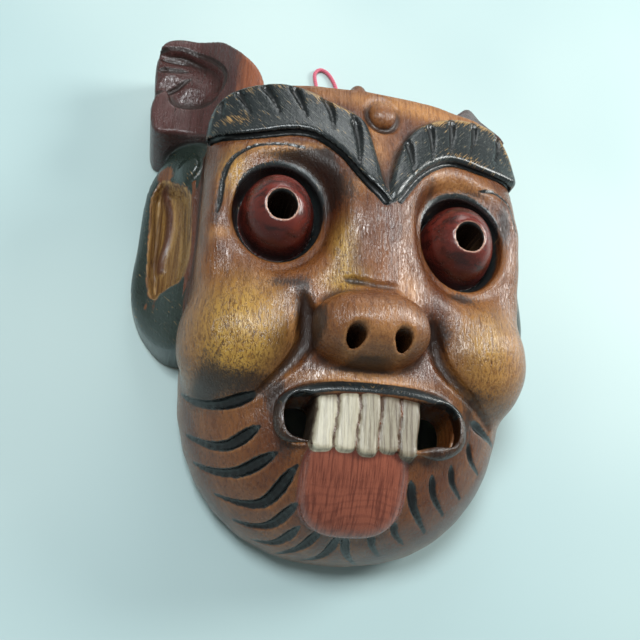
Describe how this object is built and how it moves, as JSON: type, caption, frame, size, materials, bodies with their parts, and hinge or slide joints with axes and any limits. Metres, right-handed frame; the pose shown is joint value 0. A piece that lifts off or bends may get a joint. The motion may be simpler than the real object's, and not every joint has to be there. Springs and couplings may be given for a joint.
{
  "type": "boar mask",
  "caption": "Carved wooden animal mask, hollow behind, with round eyes, a snout, bared teeth, tongue, low ears and curls, lying face up with a cord loop to hang it by.",
  "frame": {"origin": "under the middle of the carving's bounding box, on the surface that its back edge rests on", "axes": "+Z out of the face, +Y from the chin to the crown, +X to the viewer's right"},
  "size_m": [0.2044, 0.2872, 0.1018],
  "materials": {
    "stained_wood": "stained and lacquered carving, dark paint in the brows, ears and gouges",
    "pink_cord": "soft thin cord"
  },
  "bodies": {
    "root": {"mask": "stained_wood", "hanging_loop": "pink_cord"}
  },
  "joints": []
}
